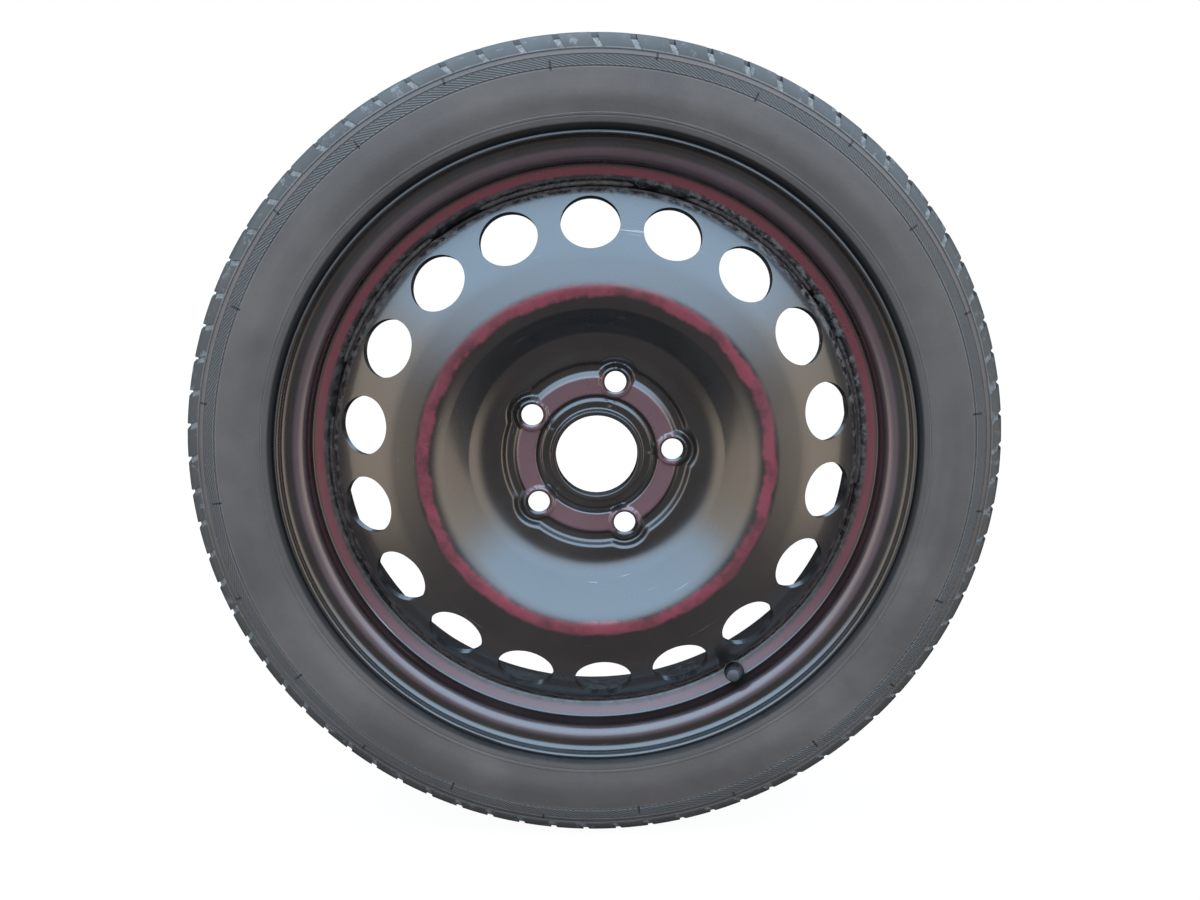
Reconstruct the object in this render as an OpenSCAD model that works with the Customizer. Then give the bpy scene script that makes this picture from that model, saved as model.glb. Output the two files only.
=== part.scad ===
// Space saver spare wheel: a narrow tyre on a pressed steel wheel, with its valve.
// The axle lies along Y. The outboard face looks along -Y and the origin is the
// centre of the hub bore in the mounting face.

/* [Rim] */
// Width between the two bead faces of the flanges
rim_w = 101.6; // [95:0.1:110]
// Diameter of the bead seats at the flanges
seat_d = 405.6; // [400:0.1:410]
// Height of a flange over its bead seat
flange_h = 17.3; // [16:0.1:19]
// Radius of the flange's rolled top
flange_curl_r = 8; // [7:0.1:9]
// Length of the flange's lip past the top of the curl
lip_l = 1.4; // [0.8:0.1:2.5]
// Radius between bead seat and flange
heel_r = 6.5; // [5:0.1:7]
// Taper of the bead seats in degrees
seat_taper = 5; // [4:0.5:6]
// Width of the outboard bead seat
seat_w = 16.4; // [15.5:0.1:18]
// Sheet thickness of the rim
rim_t = 2.8; // [2.4:0.1:3.2]
// Depth of the well under the bead seat
well_depth = 17; // [16.5:0.1:19]
// Lean of the well's outboard wall in degrees
well_lean = 17; // [14:0.5:20]
// Flat width of the well's floor
well_w = 21.6; // [19:0.1:26]
// Radius between the well's outboard wall and its floor
well_r = 6; // [5.5:0.1:6.5]
// Width of the inboard ledge between the bead seat and the well's ramp
ledge_w = 11.1; // [10:0.1:12]
// Width of the inboard bead seat
inner_seat_w = 19.8; // [19:0.1:21]

/* [Disc] */
// Offset of the rim's centre line from the mounting face
wheel_offset = 41; // [38:0.5:44]
// Sheet thickness of the disc
disc_t = 4; // [3.5:0.1:4.5]
// Diameter of the hub bore
bore_d = 56.6; // [54:0.1:58]
// Wall of the collar round the bore
collar_t = 3.2; // [2.8:0.1:3.6]
// Height of the collar from the mounting face
collar_h = 11; // [9:0.1:13]
// Diameter of the bolt circle
pcd = 105; // [104:0.5:108]
// Number of wheel bolts
bolt_count = 5; // [4:1:5]
// Diameter of a bolt hole
bolt_d = 15; // [14:0.1:15.5]
// Diameter of the cone seat at the face of a bolt boss
bolt_seat_d = 18; // [17.5:0.1:19]
// Turn of the first bolt hole, clockwise from the top, in degrees
bolt_turn = 14.2; // [0:0.1:72]
// Height of a bolt boss over the hub floor
boss_h = 4; // [3:0.1:5]
// Diameter of a bolt boss at its top
boss_top_d = 20.4; // [20:0.1:21]
// Diameter of a bolt boss at its foot
boss_foot_d = 26.6; // [26:0.1:27]
// Height of the pads between the bolts
pad_h = 2.2; // [1.5:0.1:3]
// Inner radius of a pad's flat top
pad_in_r = 42.8; // [42:0.1:44]
// Outer radius of a pad's flat top
pad_out_r = 54.6; // [53:0.1:56]
// Height of the ring round the collar
ring_h = 1.2; // [0.8:0.1:1.6]
// Outer radius of the ring round the collar
ring_r = 38; // [37:0.1:38.5]
// Outer radius of the hub floor
floor_r = 62; // [61:0.1:63]
// Height of the step round the hub floor
step_h = 4.2; // [3.4:0.1:5]
// Outward run of the step's slope
step_run = 4.5; // [3.5:0.1:5]
// Height of the crown from the mounting face
crown_h = 36.6; // [34:0.1:39]
// Distance of the crown's highest circle from the disc's edge
crown_in = 65.05; // [63:0.05:68]
// Radius of the crown's bend
crown_r = 20; // [16:0.5:22]
// Slope of the bowl's wall in degrees
bowl_slope = 46; // [43:0.5:49]
// Slope from the crown to the vents in degrees
brow_slope = 18; // [15:0.5:20]
// Slope of the vent ring in degrees
vent_slope = 34.5; // [33:0.5:36]
// Number of vent holes
vent_count = 18; // [16:1:18]
// Diameter of a vent hole
vent_d = 40; // [34:0.5:41]
// Distance of the circle of vent centres from the disc's edge
vent_in = 22.35; // [21.5:0.05:23.5]
// Turn of the first vent, clockwise from the top, in degrees
vent_turn = -1.54; // [-10:0.01:10]
// Radius of the bend from vent ring to skirt
skirt_bend_r = 9; // [7.5:0.1:9]
// Place of the skirt's upper corner along the axle
skirt_top = -1.9; // [-4:0.1:0]
// Place of the skirt's free edge along the axle
skirt_end = 27; // [24:0.5:30]
// Clearance between the disc's skirt and the well
skirt_fit = 0.05; // [0.02:0.01:0.1]

/* [Welds] */
// Number of weld runs
weld_count = 8; // [6:1:8]
// Angle that each weld run covers in degrees
weld_angle = 33; // [20:1:33]
// Radius of a weld bead
weld_r = 1.9; // [1.5:0.1:2.2]

/* [Tyre] */
// Outer diameter of the tyre
tyre_d = 568; // [560:1:575]
// Section width of the tyre
tyre_w = 124.4; // [123:0.1:128]
// Height of the tyre's widest circle, as a share of its side
bulge_share = 0.37; // [0.34:0.01:0.42]
// Radius of the shoulder
shoulder_r = 20; // [17:0.5:22]
// Radius of the tread's crown
tread_crown_r = 600; // [450:10:900]
// Depth of the tread grooves
tread_depth = 3.5; // [2.5:0.1:4]
// Width of a tread groove
groove_w = 6; // [4:0.1:8]
// Distance of the outer tread grooves from the centre line
groove_out = 31; // [28:0.5:33]
// Distance of the inner tread grooves from the centre line
groove_in = 11; // [9:0.5:13]
// Number of shoulder blocks on each side
block_count = 76; // [60:1:84]
// Width of the slot between two shoulder blocks
slot_w = 2.2; // [1.5:0.1:3]
// Wall of the tyre at its sidewall
side_t = 7.5; // [6:0.5:9]
// Rubber under the tread grooves
under_t = 6; // [5:0.5:8]
// Clearance between tyre and rim
bead_fit = 0.05; // [0.02:0.01:0.1]

/* [Valve] */
// Diameter of the valve hole in the rim
valve_hole_d = 11.3; // [11.2:0.1:11.7]
// Turn of the valve, clockwise from the top, in degrees
valve_turn = 148.75; // [140:0.25:157]
// Distance of the valve under the bead seat
valve_drop = 9.8; // [9.4:0.1:10.2]
// Length of the rubber body outside the rim
valve_body_l = 14.5; // [13:0.1:16]
// Diameter of the valve's shoulder on the rim
valve_shoulder_d = 14.4; // [14:0.1:14.6]
// Length of the valve stem from the rim's face to its mouth
stem_l = 22; // [21.5:0.1:23]
// Diameter of the stem's cap thread
stem_d = 7.7; // [7.5:0.1:7.9]
// Diameter of the core thread in the stem
core_d = 5.2; // [5:0.05:5.3]
// Diameter of the core's pin
pin_d = 0.94; // [0.8:0.02:1]
// Outer diameter of the cap
cap_d = 10.4; // [10:0.1:11]
// Wall over the cap's seal
cap_top_t = 1.6; // [1.2:0.1:2]
// Thickness of the cap's seal
cap_seal_t = 1; // [0.8:0.1:1.2]
// Diameter of the core spring's wire
spring_wire_d = 0.26; // [0.2:0.02:0.3]

/* [Hidden] */
$fn = 96;
eps = 0.01;

// Rim section, as radius and distance from the rim's centre line
seat_r = seat_d / 2;
flange_r = seat_r + flange_h;
half_w = rim_w / 2;
flange_face = half_w + flange_curl_r + lip_l;
floor_rim_r = seat_r - well_depth;
seat_end_r = seat_r - seat_w * tan(seat_taper);
well_corner = -half_w + seat_w + (seat_end_r - floor_rim_r) * tan(well_lean);
ramp_top_r = seat_r - inner_seat_w * tan(seat_taper) - 2.3;
ramp_top = half_w - inner_seat_w - ledge_w;
ledge_r = seat_r - inner_seat_w * tan(seat_taper);
rim_path = [
    [flange_r, -flange_face, 0],
    [flange_r, -half_w, flange_curl_r],
    [seat_r, -half_w, heel_r],
    [seat_end_r, -half_w + seat_w, 5.5],
    [floor_rim_r, well_corner, well_r],
    [floor_rim_r, well_corner + well_w, 12],
    [ramp_top_r, ramp_top, 12],
    [ledge_r, half_w - inner_seat_w, 8],
    [seat_r, half_w, heel_r],
    [flange_r, half_w, flange_curl_r],
    [flange_r, flange_face, 0]
];

// The valve stands square to the well's outboard wall, on its barrel side
valve_at = seat_r - valve_drop;
wall_face = wheel_offset + well_corner - (valve_at - floor_rim_r) * tan(well_lean) - rim_t / cos(well_lean);
hole_r = valve_hole_d / 2;

// Disc section, as radius and distance from the mounting face
barrel_r = floor_rim_r - rim_t;
skirt_r = barrel_r - skirt_fit;
crown_at = skirt_r - crown_in;
vent_at = skirt_r - vent_in;
bolt_at = pcd / 2;
plateau = -disc_t - step_h;
hub_edge_r = floor_r + 10;
boss_root = 0.5;
lobe_gap = 0.4;
lobe_lift = 0.25;
lobe_lean = 0.8;
cut_l = 40;
boss_spread = (boss_foot_d - boss_top_d) / boss_h;
seam_turn = vent_turn + 2.5 * 360 / vent_count;
bowl_normal = [-sin(bowl_slope), -cos(bowl_slope)];
brow_normal = [sin(brow_slope), -cos(brow_slope)];
crown_corner = [crown_at, crown_r - crown_h]
    + crown_r * (bowl_normal + brow_normal) / (1 + bowl_normal * brow_normal);
foot_at = crown_corner.x - (plateau - crown_corner.y) / tan(bowl_slope);
foot_r = min(22, (foot_at - hub_edge_r - 0.2) / tan(bowl_slope / 2));
vent_line = skirt_top - skirt_r * tan(vent_slope);
brow_line = crown_corner.y - crown_corner.x * tan(brow_slope);
brow_end = (brow_line - vent_line) / (tan(vent_slope) - tan(brow_slope));
disc_path = [
    [hub_edge_r, plateau, 0],
    [foot_at, plateau, foot_r],
    [crown_corner.x, crown_corner.y, crown_r],
    [brow_end, vent_line + brow_end * tan(vent_slope), 40],
    [skirt_r, skirt_top, skirt_bend_r],
    [skirt_r, skirt_end, 0]
];
vent_face = vent_line + vent_at * tan(vent_slope);
ring_face = -disc_t - ring_h;
ring_in_r = bore_d / 2 + collar_t + 1.6;
pad_face = -disc_t - pad_h;
pad_run = pad_h * 1.1;
hub_path = [
    [ring_in_r, ring_face, 0],
    [ring_r, ring_face, 0.8],
    [ring_r + ring_h, -disc_t, 0.6],
    [pad_in_r - pad_run, -disc_t, 0.6],
    [pad_in_r, pad_face, 1.2],
    [pad_out_r, pad_face, 1.2],
    [pad_out_r + pad_run * 1.4, -disc_t, 1.2],
    [floor_r, -disc_t, 1.5],
    [floor_r + step_run, plateau, 1.8],
    [hub_edge_r - 1, plateau, 0]
];
collar_edge = [
    [bore_d / 2, -collar_h + 0.6], [bore_d / 2 + 0.6, -collar_h],
    [bore_d / 2 + collar_t - 0.6, -collar_h], [bore_d / 2 + collar_t, -collar_h + 0.6],
    [bore_d / 2 + collar_t, ring_face - 1.6]
];
bore_edge = [[ring_in_r - 1, 0], [bore_d / 2, 0]];

// Weld bead, resting in the groove between the skirt and the bend of the well
bend_r = well_r + rim_t;
bend_at = [barrel_r + bend_r, wheel_offset + well_corner + well_r * tan(45 - well_lean / 2)];
weld_at_r = skirt_r + weld_r + 0.02;
weld_reach = bend_r + weld_r + 0.02;
weld_at = bend_at.y - sqrt(pow(weld_reach, 2) - pow(bend_at.x - weld_at_r, 2));

// Tyre section, as radius and distance from the rim's centre line
tread_r = tyre_d / 2;
bulge = tyre_w / 2;
tread_edge = bulge - 10.1;
tread_edge_r = tread_r - pow(tread_edge, 2) / (2 * tread_crown_r);
side_h = tread_edge_r - flange_r;
bulge_at = flange_r + side_h * bulge_share;
outer_half = [
    [seat_end_r + 0.3 + bead_fit, -half_w + seat_w - 3, 1],
    [seat_r + bead_fit, -half_w + bead_fit, heel_r - bead_fit],
    [flange_r + bead_fit, -half_w + bead_fit, flange_curl_r + bead_fit],
    [flange_r + bead_fit, -half_w - flange_curl_r * 0.78, 1.2],
    [flange_r + 2.4, -half_w - flange_curl_r * 0.98, 1.4],
    [flange_r + 5, -bulge + 2.2, 3],
    [bulge_at, -bulge - 0.35, side_h * 0.55],
    [tread_edge_r - side_h * 0.36, -bulge + 2.2, side_h * 0.49],
    [tread_edge_r, -tread_edge, min(shoulder_r, side_h * 0.35)]
];
tread_half = [for (y = [-tread_edge + 16 : 8 : -1]) [tread_r - y * y / (2 * tread_crown_r), y, 0]];
cavity_half = [
    [seat_end_r + 0.3 + bead_fit, -half_w + seat_w - 3, 1],
    [seat_r + 10, -half_w + 12, 10],
    [bulge_at - side_h * 0.23, -bulge + side_t + 2.5, side_h * 0.26],
    [bulge_at + side_h * 0.29, -bulge + side_t + 1, side_h * 0.32],
    [tread_r - tread_depth - under_t, -tread_edge + 8, side_h * 0.29]
];

// Valve sizes, as radius and distance along the valve from the rim's face
neck_r = hole_r - 0.05;
body_r = valve_shoulder_d / 2;
shoulder_h = 2.4;
coin_gap = 0.3;
stem_r = stem_d / 2;
core_r = core_d / 2;
pin_r = pin_d / 2;
passage_r = core_r - 0.45;
seal_at = stem_l - 7.8;
barrel_end = stem_l - 17;
cup_end = barrel_end - 1.7;
cap_mouth = valve_body_l + 0.3;
cap_seal_at = stem_l + 0.02;
cap_end = cap_seal_at + cap_seal_t + 0.02 + cap_top_t;

// Corner points of an outline moved to its left by t, with bends that keep their centres
function unit(v) = v / norm(v);
function xy(p) = [p.x, p.y];
function left(v) = [-v.y, v.x];
function way(path, i) = unit(xy(path[i + 1]) - xy(path[i]));
function corner_shift(path, i) =
    i == 0 ? left(way(path, 0)) :
    i == len(path) - 1 ? left(way(path, i - 1)) :
    let (a = left(way(path, i - 1)), b = left(way(path, i))) (a + b) / (1 + a * b);
function turns_left(path, i) = cross(way(path, i - 1), way(path, i)) > 0;
function moved(path, t) = [for (i = [0 : len(path) - 1])
    let (p = xy(path[i]) + t * corner_shift(path, i),
        ends = i == 0 || i == len(path) - 1 || path[i].z == 0)
    [p.x, p.y, ends ? 0 : path[i].z + (turns_left(path, i) ? -t : t)]];

// Points of an outline with each corner rounded by its own radius
function arc_points(p, a, b, r) =
    let (turn = acos(a * b), cut = r * tan(turn / 2), side = cross(a, b) > 0 ? 1 : -1,
        start = p - a * cut, centre = start + side * r * left(a), n = max(2, ceil(turn / (r < 3 ? 15 : 6))))
    [for (k = [0 : n]) let (s = side * turn * k / n, v = start - centre)
        centre + [v.x * cos(s) - v.y * sin(s), v.x * sin(s) + v.y * cos(s)]];
function rounded(path) = [for (i = [0 : len(path) - 1])
    each (i == 0 || i == len(path) - 1 || path[i].z == 0) ? [xy(path[i])] :
        arc_points(xy(path[i]), way(path, i - 1), way(path, i), path[i].z)];
function last(path) = path[len(path) - 1];
function reversed(path) = [for (i = [len(path) - 1 : -1 : 0]) path[i]];
function mirrored(path) = [for (p = reversed(path)) [p.x, -p.y, p.z]];
function half_round(a, b) = let (m = (a + b) / 2, v = a - m)
    [for (s = [30 : 30 : 150]) m + [v.x * cos(s) - v.y * sin(s), v.x * sin(s) + v.y * cos(s)]];

// Turns work made about Z, with Z to the inboard side, onto the axle
module on_axle() {
    rotate([-90, 0, 0]) children();
}

// Places work at a turn clockwise from the top, as seen from outboard
module at_turn(a) {
    rotate([0, 0, a - 90]) children();
}

// Places work made along Z on the valve, whose Z leaves the rim
module on_valve() {
    on_axle() at_turn(valve_turn) translate([valve_at, 0, wall_face]) rotate([0, 180 + well_lean, 0]) children();
}

module on_rim_centre() {
    on_axle() translate([0, 0, wheel_offset]) children();
}

// Strip of sheet along a path, thickness t to its left, with rounded edges
module strip_section(path, t) {
    near = rounded(path);
    far = rounded(moved(path, t));
    polygon(concat(near, half_round(last(near), last(far)), reversed(far), half_round(far[0], near[0])));
}

// Tyre, moulded in one piece with its beads, sidewalls and tread
module tyre() {
    outline = concat(outer_half, tread_half, [[tread_r, 0, 0]], mirrored(tread_half), mirrored(outer_half));
    cavity = concat(cavity_half, mirrored(cavity_half));
    color("dimgray") on_rim_centre() difference() {
        rotate_extrude($fn = 180) polygon(concat(rounded(outline), reversed(rounded(cavity))));
        for (y = [-groove_out, -groove_in, groove_in, groove_out]) tread_groove(y);
        for (side = [0, 1]) mirror([0, 0, side]) {
            for (i = [0 : block_count - 1]) rotate([0, 0, i * 360 / block_count]) shoulder_slot();
        }
    }
}

module tread_groove(y) {
    r = tread_r - y * y / (2 * tread_crown_r);
    bottom = groove_w / 2 - tread_depth * 0.3;
    rotate_extrude($fn = 180) polygon([
        [r - tread_depth, y - bottom], [r + 1, y - groove_w / 2 - 0.3],
        [r + 1, y + groove_w / 2 + 0.3], [r - tread_depth, y + bottom]
    ]);
}

module shoulder_slot() {
    rotate([90, 0, 0]) linear_extrude(slot_w, center = true) polygon([
        [tread_edge_r + 8, -groove_out], [tread_edge_r - tread_depth, -groove_out],
        [tread_edge_r - tread_depth - 1.5, -tread_edge + 12], [tread_edge_r - 9, -tread_edge + 0.5],
        [tread_edge_r - 15, -bulge], [tread_edge_r + 8, -bulge]
    ]);
}

// Rim, rolled from one strip, with a flat coined round the valve hole
module rim() {
    color("black") difference() {
        union() {
            on_rim_centre() rotate_extrude($fn = 180) strip_section(rim_path, rim_t);
            on_valve() translate([0, 0, -rim_t / 2]) cylinder(d = valve_shoulder_d + 1.6, h = rim_t / 2);
        }
        on_valve() cylinder(r = body_r + coin_gap, h = shoulder_h + 1.4);
        on_valve() translate([0, 0, -rim_t * 2]) cylinder(r = hole_r, h = rim_t * 4);
    }
}

// Raised seat of a wheel bolt, with its cone run on into the hub floor
module boss() {
    translate([0, 0, -disc_t - boss_h]) rotate([0, 0, 20])
        cylinder(d1 = boss_top_d, d2 = boss_foot_d + boss_root * boss_spread, h = boss_h + boss_root);
}

// Lobe that lowers the step round the hub floor beside a bolt boss
module lobe() {
    foot_r = boss_foot_d / 2 + lobe_gap;
    rise = step_h - lobe_lift + 1;
    difference() {
        translate([0, 0, plateau - 1]) rotate([0, 0, 45])
            cylinder(r1 = foot_r + rise * lobe_lean, r2 = foot_r, h = rise);
        translate([-bolt_at, 0, plateau - 3]) rotate([0, 0, 180]) cylinder(r = floor_r - 1, h = step_h + 4);
    }
}

module at_bolts() {
    for (i = [0 : bolt_count - 1]) at_turn(bolt_turn + i * 360 / bolt_count) translate([bolt_at, 0, 0]) children();
}

// Disc, pressed from one blank, with the collar drawn outboard round its bore
module disc() {
    near = concat(collar_edge, rounded(hub_path), rounded(disc_path));
    far = rounded(moved(disc_path, disc_t));
    back = [for (p = rounded(hub_path)) [p.x, p.y + disc_t]];
    outline = concat(near, half_round(last(near), last(far)), reversed(far), reversed(back), bore_edge);
    color("black") on_axle() difference() {
        union() {
            difference() {
                union() {
                    at_turn(seam_turn) rotate_extrude($fn = 180) polygon(outline);
                    at_bolts() translate([0, 0, disc_t]) lobe();
                }
                at_bolts() lobe();
            }
            at_bolts() boss();
        }
        at_bolts() translate([0, 0, disc_t]) boss();
        at_bolts() bolt_hole();
        for (i = [0 : vent_count - 1]) at_turn(vent_turn + i * 360 / vent_count) vent();
    }
}

module vent() {
    translate([vent_at, 0, vent_face]) rotate([0, -vent_slope, 0]) cylinder(d = vent_d, h = cut_l, center = true);
}

module bolt_hole() {
    cone_h = (bolt_seat_d - bolt_d) / 2 / tan(30);
    translate([0, 0, -disc_t - boss_h - 1]) cylinder(d = bolt_d, h = cut_l / 2);
    translate([0, 0, -disc_t - boss_h - eps]) cylinder(d1 = bolt_seat_d, d2 = bolt_d, h = cone_h);
}

// Weld runs in the groove between disc and rim, with a gap at the valve
module disc_welds() {
    color("dimgray") on_axle() for (i = [0 : weld_count - 1]) {
        at_turn(valve_turn + (i + 0.5) * 360 / weld_count - weld_angle / 2) weld_run();
    }
}

module weld_run() {
    rotate_extrude(angle = weld_angle, $fn = 180) translate([weld_at_r, weld_at]) circle(weld_r, $fn = 24);
}

// Rubber body of the valve, moulded onto the stem and snapped into the rim
module valve_body() {
    color("black") on_valve() difference() {
        rotate_extrude() polygon([
            [0, -9.5], [5.4, -9.5], [7.2, -8], [7.6, -5.6], [5.8, -rim_t - 0.4], [neck_r, -rim_t - 0.4],
            [neck_r, 0.05], [body_r, 0.05], [body_r, shoulder_h], [body_r - 0.6, 3.4], [6.1, 6.2],
            [5.5, valve_body_l - 1], [5, valve_body_l], [0, valve_body_l]
        ]);
        stem_outside();
        translate([0, 0, -10]) cylinder(r = passage_r, h = 10);
    }
}

// Outside of the brass stem, with the grip rings that hold it in the rubber
module stem_outside() {
    root = stem_r - 0.75;
    rotate_extrude() polygon([
        [0, -7.5], [root + 0.5, -7.5], [root + 0.5, -6.3], [root, -5.8], [root, -1], [root + 0.5, -0.5],
        [root + 0.5, 1], [root, 1.5], [root, 5], [root + 0.5, 5.5], [root + 0.5, 7], [root, 7.5],
        [root, 9.5], [stem_r, 10.4], [stem_r, stem_l - 0.6], [stem_r - 0.6, stem_l], [0, stem_l]
    ]);
}

module valve_stem() {
    color("darkgoldenrod") on_valve() difference() {
        stem_outside();
        translate([0, 0, -10]) cylinder(r = passage_r, h = stem_l + 20);
        translate([0, 0, seal_at]) cylinder(r1 = passage_r, r2 = core_r + 0.05, h = 2);
        translate([0, 0, seal_at + 2 - eps]) cylinder(r = core_r + 0.05, h = 10);
    }
}

// Threaded plug of the valve core, with two flats that let the air past
module core_plug() {
    color("goldenrod") on_valve() difference() {
        translate([0, 0, seal_at + 2.4]) cylinder(r = core_r, h = 4.2);
        for (a = [0, 180]) rotate([0, 0, a]) translate([1.1, -3, seal_at + 4]) cube([3, 6, 4]);
        translate([0, 0, seal_at]) cylinder(r = pin_r + 0.15, h = 10);
        translate([0, 0, seal_at + 2]) cylinder(r = 1, h = 1.4);
    }
}

// Barrel of the valve core, hung from the plug
module core_barrel() {
    color("goldenrod") on_valve() difference() {
        union() {
            translate([0, 0, barrel_end]) cylinder(r = 1.65, h = seal_at + 2.4 - barrel_end);
            translate([0, 0, seal_at + 2.4]) cylinder(r = 0.95, h = 0.8);
        }
        translate([0, 0, barrel_end - 1]) cylinder(r = pin_r + 0.15, h = 30);
        translate([0, 0, barrel_end + 0.8]) cylinder(r = 1.3, h = seal_at + 0.8 - barrel_end);
    }
}

module barrel_seal() {
    color("tomato") on_valve() rotate_extrude() polygon([
        [1.65, seal_at + 0.3], [passage_r + 0.04, seal_at + 0.3],
        [core_r - 0.12, seal_at + 1.9], [core_r - 0.12, seal_at + 2.3], [1.65, seal_at + 2.3]
    ]);
}

// Pin of the valve core, with the collar that its spring lifts
module core_pin() {
    color("silver") on_valve() rotate_extrude($fn = 32) polygon([
        [0, cup_end - 0.4], [pin_r, cup_end - 0.4], [pin_r, seal_at - 0.2], [1.05, seal_at - 0.2],
        [1.05, seal_at + 0.3], [pin_r, seal_at + 0.3], [pin_r, stem_l - 0.5], [pin_r - 0.15, stem_l - 0.3],
        [0, stem_l - 0.3]
    ]);
}

module core_cup() {
    color("goldenrod") on_valve() rotate_extrude($fn = 48) polygon([
        [pin_r, cup_end], [1.6, cup_end], [1.6, cup_end + 1.3], [1.4, cup_end + 1.3],
        [1.4, cup_end + 0.3], [pin_r, cup_end + 0.3]
    ]);
}

module cup_seal() {
    color("black") on_valve() rotate_extrude($fn = 48) polygon([
        [pin_r, cup_end + 0.3], [1.4, cup_end + 0.3], [1.4, barrel_end - 0.02], [pin_r, barrel_end - 0.02]
    ]);
}

// Coil spring between the barrel's floor and the pin's collar
module core_spring() {
    wire = spring_wire_d / 2;
    low = barrel_end + 0.8 + wire + 0.01;
    rise = seal_at - 0.2 - wire - 0.01 - low;
    turns = 7;
    steps = turns * 14;
    coil_r = 0.98;
    sides = 6;
    rings = [for (i = [0 : steps]) let (a = 360 * turns * i / steps, z = low + rise * i / steps)
        for (k = [0 : sides - 1]) let (b = 360 * k / sides, r = coil_r + wire * cos(b))
            [r * cos(a), r * sin(a), z + wire * sin(b)]];
    walls = [for (i = [0 : steps - 1], k = [0 : sides - 1]) let (n = (k + 1) % sides, j = i * sides)
        [j + k, j + sides + k, j + sides + n, j + n]];
    ends = [[for (k = [0 : sides - 1]) k], [for (k = [sides - 1 : -1 : 0]) steps * sides + k]];
    color("silver") on_valve() polyhedron(rings, concat(walls, ends));
}

module cap_seal() {
    color("firebrick") on_valve() translate([0, 0, cap_seal_at]) cylinder(r = stem_r - 0.1, h = cap_seal_t);
}

// Moulded cap with grip ribs, screwed over the stem
module valve_cap() {
    inside_r = stem_r + 0.08;
    outside_r = cap_d / 2;
    color("black") on_valve() difference() {
        union() {
            rotate_extrude() polygon([
                [0, cap_mouth], [outside_r - 0.6, cap_mouth], [outside_r - 0.3, cap_mouth + 0.3],
                [outside_r - 0.5, cap_end - 1.6], [outside_r - 1.2, cap_end - 0.5],
                [outside_r - 2.6, cap_end], [0, cap_end]
            ]);
            for (i = [0 : 11]) rotate([0, 0, i * 30]) translate([outside_r - 0.6, 0, cap_mouth + 0.6])
                cylinder(r = 0.6, h = 5, $fn = 16);
        }
        translate([0, 0, cap_mouth - 1]) cylinder(r = inside_r, h = cap_end - cap_top_t - cap_mouth + 1);
    }
}

tyre();
rim();
disc();
disc_welds();
valve_body();
valve_stem();
core_plug();
core_barrel();
barrel_seal();
core_pin();
core_cup();
cup_seal();
core_spring();
cap_seal();
valve_cap();
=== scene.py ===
import math

import bmesh
import bpy
from mathutils import Matrix, Vector, noise


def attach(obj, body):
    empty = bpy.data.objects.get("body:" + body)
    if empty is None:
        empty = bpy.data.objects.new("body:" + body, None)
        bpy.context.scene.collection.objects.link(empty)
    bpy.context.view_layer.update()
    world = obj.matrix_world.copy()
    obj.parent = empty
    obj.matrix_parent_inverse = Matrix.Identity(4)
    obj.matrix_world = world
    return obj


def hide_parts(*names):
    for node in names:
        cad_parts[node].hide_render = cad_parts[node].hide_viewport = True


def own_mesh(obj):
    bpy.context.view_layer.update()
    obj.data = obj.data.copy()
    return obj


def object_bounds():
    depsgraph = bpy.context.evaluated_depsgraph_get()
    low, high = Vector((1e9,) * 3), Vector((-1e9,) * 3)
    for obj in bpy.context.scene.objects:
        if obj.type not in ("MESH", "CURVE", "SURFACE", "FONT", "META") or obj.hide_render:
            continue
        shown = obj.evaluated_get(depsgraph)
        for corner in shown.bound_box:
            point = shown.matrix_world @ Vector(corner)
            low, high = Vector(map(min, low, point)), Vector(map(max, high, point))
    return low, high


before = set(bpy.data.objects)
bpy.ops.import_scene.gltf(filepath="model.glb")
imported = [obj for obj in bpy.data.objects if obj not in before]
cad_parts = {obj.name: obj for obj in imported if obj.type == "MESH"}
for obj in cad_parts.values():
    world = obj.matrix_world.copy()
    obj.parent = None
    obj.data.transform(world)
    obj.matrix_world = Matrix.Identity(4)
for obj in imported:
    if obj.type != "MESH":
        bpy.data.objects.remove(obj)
cad_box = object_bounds()
scene = bpy.context.scene
scene.view_settings.view_transform = "Standard"


# Camera, a metre in front of the wheel and a little above its axle. The aim is a point on the
# axle, which the photograph shows a few pixels off its centre.
aim = Vector((0, -0.007, 0))
camera_distance = 0.999
camera_turn, camera_rise = math.radians(-1.08), math.radians(12.57)
sensor_width, lens, picture_width = 36, 43.26, 1200
pixels_right, pixels_up = 3.2, 4.8
camera = bpy.data.objects.new("camera", bpy.data.cameras.new("camera"))
scene.collection.objects.link(camera)
scene.camera = camera
camera.data.sensor_width = sensor_width
camera.data.lens = lens
camera.data.clip_start = 0.01
camera.location = aim + camera_distance * Vector((
    math.sin(camera_turn) * math.cos(camera_rise),
    -math.cos(camera_turn) * math.cos(camera_rise),
    math.sin(camera_rise),
))
sight = (aim - camera.location).normalized()
sideways = sight.cross(Vector((0, 0, 1))).normalized()
upwards = sideways.cross(sight)
pixel = sensor_width / lens / picture_width
sight += pixel * (pixels_right * sideways + pixels_up * upwards)
camera.rotation_euler = sight.to_track_quat("-Z", "Y").to_euler()


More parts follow.
